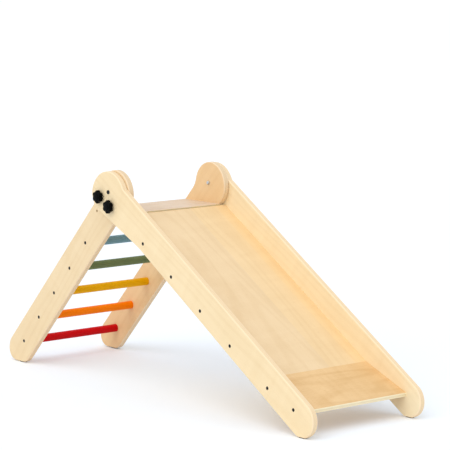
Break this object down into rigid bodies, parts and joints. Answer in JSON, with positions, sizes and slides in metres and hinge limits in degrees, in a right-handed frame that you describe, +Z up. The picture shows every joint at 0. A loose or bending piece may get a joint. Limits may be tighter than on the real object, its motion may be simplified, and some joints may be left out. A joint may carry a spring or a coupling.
{
  "type": "climbing frame with slide",
  "caption": "Children's A-frame climbing set: a ladder with painted rungs and a small platform, hinged to a plywood slide with side rails and held at its angle by clamping knobs.",
  "frame": {"origin": "on the floor, under the middle of the frame's bounding box", "axes": "+X from the ladder's feet to the slide's feet, +Y across the frame, +Z up"},
  "size_m": [1.405, 0.436, 0.6222],
  "materials": {
    "birch_plywood": "sanded birch plywood, clear matt varnish",
    "paint_blue": "satin paint on a beech dowel",
    "paint_green": "satin paint on a beech dowel",
    "paint_yellow": "satin paint on a beech dowel",
    "paint_orange": "satin paint on a beech dowel",
    "paint_red": "satin paint on a beech dowel",
    "knob_plastic": "black moulded plastic",
    "black_steel": "black oxide",
    "zinc_steel": "zinc plated",
    "brass": "plain",
    "nylon": "natural nylon",
    "pad_rubber": "matt"
  },
  "bodies": {
    "slide_unit": {"slide_side_right": "birch_plywood", "slide_screws_right": "black_steel", "slide_foot_pad_right": "pad_rubber", "pivot_bolt_right": "black_steel", "pivot_nut_right": "zinc_steel", "threaded_insert_upper_right": "zinc_steel", "threaded_insert_lower_right": "zinc_steel", "slide_side_left": "birch_plywood", "slide_screws_left": "black_steel", "slide_foot_pad_left": "pad_rubber", "pivot_bolt_left": "black_steel", "pivot_nut_left": "zinc_steel", "threaded_insert_upper_left": "zinc_steel", "threaded_insert_lower_left": "zinc_steel", "slide_board": "birch_plywood", "landing_board": "birch_plywood"},
    "ladder_unit": {"ladder_side_right": "birch_plywood", "rung_screws_right": "black_steel", "platform_screws_right": "brass", "ladder_foot_pad_right": "pad_rubber", "pivot_bush_right": "nylon", "ladder_side_left": "birch_plywood", "rung_screws_left": "black_steel", "platform_screws_left": "brass", "ladder_foot_pad_left": "pad_rubber", "pivot_bush_left": "nylon", "platform_board": "birch_plywood", "rung_blue": "paint_blue", "rung_green": "paint_green", "rung_yellow": "paint_yellow", "rung_orange": "paint_orange", "rung_red": "paint_red"},
    "knob_upper_right": {"knob_upper_right": "knob_plastic", "knob_stud_upper_right": "zinc_steel"},
    "knob_lower_right": {"knob_lower_right": "knob_plastic", "knob_stud_lower_right": "zinc_steel"},
    "knob_upper_left": {"knob_upper_left": "knob_plastic", "knob_stud_upper_left": "zinc_steel"},
    "knob_lower_left": {"knob_lower_left": "knob_plastic", "knob_stud_lower_left": "zinc_steel"}
  },
  "joints": [
    {"name": "ladder_fold", "type": "hinge", "parent": "slide_unit", "child": "ladder_unit", "pos_m": [-0.16518, 0, 0.561], "axis": [0, -1, 0], "range_deg": [0, 28]},
    {"name": "knob_turn_upper_right", "type": "hinge", "parent": "slide_unit", "child": "knob_upper_right", "pos_m": [-0.20309, -0.218, 0.54485], "axis": [0, -1, 0], "range_deg": [0, 360]},
    {"name": "knob_turn_lower_right", "type": "hinge", "parent": "slide_unit", "child": "knob_lower_right", "pos_m": [-0.15516, -0.218, 0.52104], "axis": [0, -1, 0], "range_deg": [0, 360]},
    {"name": "knob_turn_upper_left", "type": "hinge", "parent": "slide_unit", "child": "knob_upper_left", "pos_m": [-0.20309, 0.218, 0.54485], "axis": [0, 1, 0], "range_deg": [0, 360]},
    {"name": "knob_turn_lower_left", "type": "hinge", "parent": "slide_unit", "child": "knob_lower_left", "pos_m": [-0.15516, 0.218, 0.52104], "axis": [0, 1, 0], "range_deg": [0, 360]}
  ]
}
